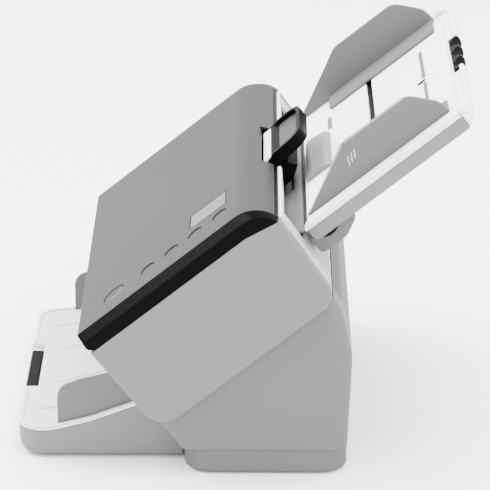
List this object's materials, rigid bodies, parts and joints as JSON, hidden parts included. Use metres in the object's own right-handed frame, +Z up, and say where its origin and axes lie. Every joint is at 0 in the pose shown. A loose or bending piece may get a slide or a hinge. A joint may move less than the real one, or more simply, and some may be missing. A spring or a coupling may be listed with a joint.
{
  "type": "sheet fed document scanner",
  "caption": "Desktop sheet fed document scanner with a sloping control face, folding input tray, coupled side guides, opening cover and sliding output tray.",
  "frame": {"origin": "on the desk under the middle of the whole machine's bounding box", "axes": "+X to the right of someone facing the machine, -Y towards that person and the output tray, +Z up"},
  "size_m": [0.312, 0.3364, 0.2857],
  "materials": {
    "foot_rubber": "matte",
    "plinth_plastic": "fine texture",
    "stand_plastic": "fine texture",
    "rear_plastic": "fine texture",
    "head_plastic": "satin",
    "side_plastic": "fine texture",
    "screw_steel": "zinc plated",
    "chassis_steel": "galvanised sheet",
    "paper_guide_plastic": "satin",
    "sensor_black": "satin",
    "sensor_glass": "polished",
    "bush_plastic": "self coloured",
    "support_plastic": "satin",
    "board_green": "solder resist",
    "inlet_plastic": "satin",
    "port_steel": "plated",
    "motor_steel": "plated",
    "pulley_aluminium": "turned",
    "belt_rubber": "matte",
    "shaft_steel": "ground",
    "roller_rubber": "matte",
    "panel_silver": "fine metallic paint",
    "bezel_black": "gloss",
    "liner_white": "satin",
    "display_black": "gloss",
    "button_grey": "satin",
    "lever_black": "satin",
    "carrier_plastic": "self coloured",
    "holder_black": "satin",
    "tray_plastic": "satin",
    "tray_deck_plastic": "satin",
    "hump_plastic": "satin",
    "fin_plastic": "satin",
    "pinion_plastic": "self coloured",
    "extension_black": "satin",
    "output_plastic": "satin",
    "output_deck_plastic": "satin",
    "stop_black": "satin"
  },
  "bodies": {
    "base": {"rubber_feet": "foot_rubber", "base_plinth": "plinth_plastic", "base_screws": "screw_steel", "stand_housing": "stand_plastic", "rear_cover": "rear_plastic", "head_housing": "head_plastic", "right_side_cover": "side_plastic", "left_side_cover": "side_plastic", "chassis_plates": "chassis_steel", "lower_paper_guide": "paper_guide_plastic", "lower_image_sensor": "sensor_black", "lower_sensor_glass": "sensor_glass", "roller_bushes": "bush_plastic", "tray_support": "support_plastic", "main_board": "board_green", "power_inlet": "inlet_plastic", "usb_port": "port_steel", "drive_motor": "motor_steel", "drive_belt": "belt_rubber"},
    "scanner_cover": {"cover_skin": "panel_silver", "cover_frame": "bezel_black", "cover_liner": "liner_white", "upper_image_sensor": "sensor_black", "upper_sensor_glass": "sensor_glass", "cover_hinge_pins": "shaft_steel", "panel_board": "board_green", "display_window": "display_black", "pinch_carriers": "carrier_plastic", "separation_holder": "holder_black"},
    "release_lever": {"release_lever": "lever_black", "latch_shaft": "shaft_steel"},
    "power_button": {"power_button": "button_grey"},
    "back_button": {"back_button": "button_grey"},
    "down_button": {"down_button": "button_grey"},
    "up_button": {"up_button": "button_grey"},
    "select_button": {"select_button": "button_grey"},
    "entry_roller": {"entry_roller_shaft": "shaft_steel", "entry_roller_tyres": "roller_rubber"},
    "exit_roller": {"exit_roller_shaft": "shaft_steel", "exit_roller_tyres": "roller_rubber"},
    "pick_roller": {"pick_roller_shaft": "shaft_steel", "pick_roller_tyres": "roller_rubber"},
    "motor_pulley": {"motor_pulley": "pulley_aluminium"},
    "entry_pinch_roller": {"entry_pinch_roller": "roller_rubber"},
    "exit_pinch_roller": {"exit_pinch_roller": "roller_rubber"},
    "separation_roller": {"separation_roller": "roller_rubber"},
    "input_tray": {"tray_shell": "tray_plastic", "tray_frame": "tray_plastic", "tray_deck": "tray_deck_plastic", "tray_hinge_pins": "shaft_steel", "pick_module_cover": "hump_plastic"},
    "right_guide": {"right_side_guide": "fin_plastic"},
    "left_guide": {"left_side_guide": "fin_plastic"},
    "guide_pinion": {"guide_pinion": "pinion_plastic"},
    "tray_extension": {"tray_extension": "tray_plastic", "extension_grip": "extension_black"},
    "output_tray": {"output_tray_shell": "output_plastic", "output_tray_deck": "output_deck_plastic", "output_guides": "fin_plastic"},
    "end_stop": {"end_stop": "stop_black"}
  },
  "joints": [
    {"name": "cover_hinge", "type": "hinge", "parent": "base", "child": "scanner_cover", "pos_m": [0, -0.10746, 0.10096], "axis": [1, 0, 0], "range_deg": [0, 75]},
    {"name": "release_lever_pivot", "type": "hinge", "parent": "scanner_cover", "child": "release_lever", "pos_m": [0, 0.01716, 0.19747], "axis": [1, 0, 0], "range_deg": [0, 18], "stiffness_Nm_per_rad": 0.15, "springref_deg": -5.73},
    {"name": "input_tray_fold", "type": "hinge", "parent": "base", "child": "input_tray", "pos_m": [0, 0.05902, 0.19001], "axis": [-1, 0, 0], "range_deg": [-40, 0]},
    {"name": "tray_extension_slide", "type": "slide", "parent": "input_tray", "child": "tray_extension", "axis": [0, 0.7804, 0.6252], "range_m": [0, 0.07]},
    {"name": "right_guide_slide", "type": "slide", "parent": "input_tray", "child": "right_guide", "axis": [-1, 0, 0], "range_m": [0, 0.064]},
    {"name": "left_guide_slide", "type": "slide", "parent": "input_tray", "child": "left_guide", "axis": [1, 0, 0], "range_m": [0, 0.064]},
    {"name": "guide_pinion_spin", "type": "hinge", "parent": "input_tray", "child": "guide_pinion", "pos_m": [0, 0.10335, 0.22552], "axis": [0, -0.6252, 0.7804], "range_deg": [-440, 0]},
    {"name": "output_tray_slide", "type": "slide", "parent": "base", "child": "output_tray", "axis": [0, -1, 0], "range_m": [0, 0.08]},
    {"name": "end_stop_hinge", "type": "hinge", "parent": "output_tray", "child": "end_stop", "pos_m": [0, -0.16058, 0.0212], "axis": [-1, 0, 0], "range_deg": [0, 90]},
    {"name": "entry_roller_spin", "type": "hinge", "parent": "base", "child": "entry_roller", "pos_m": [0, 0.01064, 0.14804], "axis": [1, 0, 0], "continuous": true},
    {"name": "exit_roller_spin", "type": "hinge", "parent": "base", "child": "exit_roller", "pos_m": [0, -0.0596, 0.09177], "axis": [1, 0, 0], "continuous": true},
    {"name": "motor_pulley_spin", "type": "hinge", "parent": "base", "child": "motor_pulley", "pos_m": [0, -0.00448, 0.11094], "axis": [1, 0, 0], "continuous": true},
    {"name": "pick_roller_spin", "type": "hinge", "parent": "base", "child": "pick_roller", "pos_m": [0, 0.03702, 0.16789], "axis": [1, 0, 0], "continuous": true},
    {"name": "separation_roller_spin", "type": "hinge", "parent": "scanner_cover", "child": "separation_roller", "pos_m": [0, 0.0252, 0.18264], "axis": [1, 0, 0], "continuous": true},
    {"name": "entry_pinch_spin", "type": "hinge", "parent": "scanner_cover", "child": "entry_pinch_roller", "pos_m": [0, 0.00164, 0.15928], "axis": [1, 0, 0], "continuous": true},
    {"name": "exit_pinch_spin", "type": "hinge", "parent": "scanner_cover", "child": "exit_pinch_roller", "pos_m": [0, -0.0686, 0.10301], "axis": [1, 0, 0], "continuous": true},
    {"name": "power_button_press", "type": "slide", "parent": "scanner_cover", "child": "power_button", "axis": [0, 0.6252, -0.7804], "range_m": [0, 0.0008], "stiffness_N_per_m": 300},
    {"name": "back_button_press", "type": "slide", "parent": "scanner_cover", "child": "back_button", "axis": [0, 0.6252, -0.7804], "range_m": [0, 0.0008], "stiffness_N_per_m": 300},
    {"name": "down_button_press", "type": "slide", "parent": "scanner_cover", "child": "down_button", "axis": [0, 0.6252, -0.7804], "range_m": [0, 0.0008], "stiffness_N_per_m": 300},
    {"name": "up_button_press", "type": "slide", "parent": "scanner_cover", "child": "up_button", "axis": [0, 0.6252, -0.7804], "range_m": [0, 0.0008], "stiffness_N_per_m": 300},
    {"name": "select_button_press", "type": "slide", "parent": "scanner_cover", "child": "select_button", "axis": [0, 0.6252, -0.7804], "range_m": [0, 0.0008], "stiffness_N_per_m": 300}
  ],
  "couplings": [
    {"joint": "left_guide_slide", "follows": "right_guide_slide", "ratio": 1},
    {"joint": "guide_pinion_spin", "follows": "right_guide_slide", "rad_per_m": -119.05},
    {"joint": "exit_roller_spin", "follows": "entry_roller_spin", "ratio": 1},
    {"joint": "motor_pulley_spin", "follows": "entry_roller_spin", "ratio": 1.6}
  ]
}
